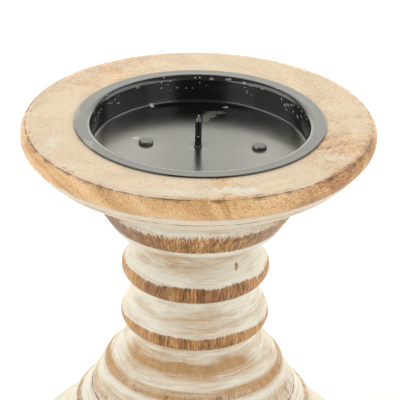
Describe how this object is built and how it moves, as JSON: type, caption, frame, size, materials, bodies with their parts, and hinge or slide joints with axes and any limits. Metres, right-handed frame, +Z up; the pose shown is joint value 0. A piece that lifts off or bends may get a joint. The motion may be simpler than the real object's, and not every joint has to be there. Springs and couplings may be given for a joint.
{
  "type": "wooden candlestick",
  "caption": "Turned, whitewashed wooden candlestick with a round top plate, a sunk black steel pan and a spike for one pillar candle.",
  "frame": {"origin": "on the table, under the middle of the base", "axes": "+Z up along the turned axis, -Y towards the viewer, +X to the viewer's right along the line of the two pan nails"},
  "size_m": [0.127, 0.127, 0.1543],
  "materials": {
    "plate_wood": "pale sanded hardwood, thinly whitewashed, matt",
    "stem_wood": "white paint rubbed through to the wood on the beads, matt",
    "base_wood": "white paint rubbed through on the edges, matt",
    "black_lacquer": "black lacquer, satin gloss",
    "nail_steel": "blackened nail heads, worn to grey",
    "screw_steel": "zinc plated",
    "felt": "pressed felt"
  },
  "bodies": {
    "root": {"top_plate": "plate_wood", "stem": "stem_wood", "base": "base_wood", "pan": "black_lacquer", "spike": "black_lacquer", "pan_nail_left": "nail_steel", "pan_nail_right": "nail_steel", "plate_screw": "screw_steel", "base_screw": "screw_steel", "felt_pad_front_right": "felt", "felt_pad_back_right": "felt", "felt_pad_back_left": "felt", "felt_pad_front_left": "felt"}
  },
  "joints": []
}
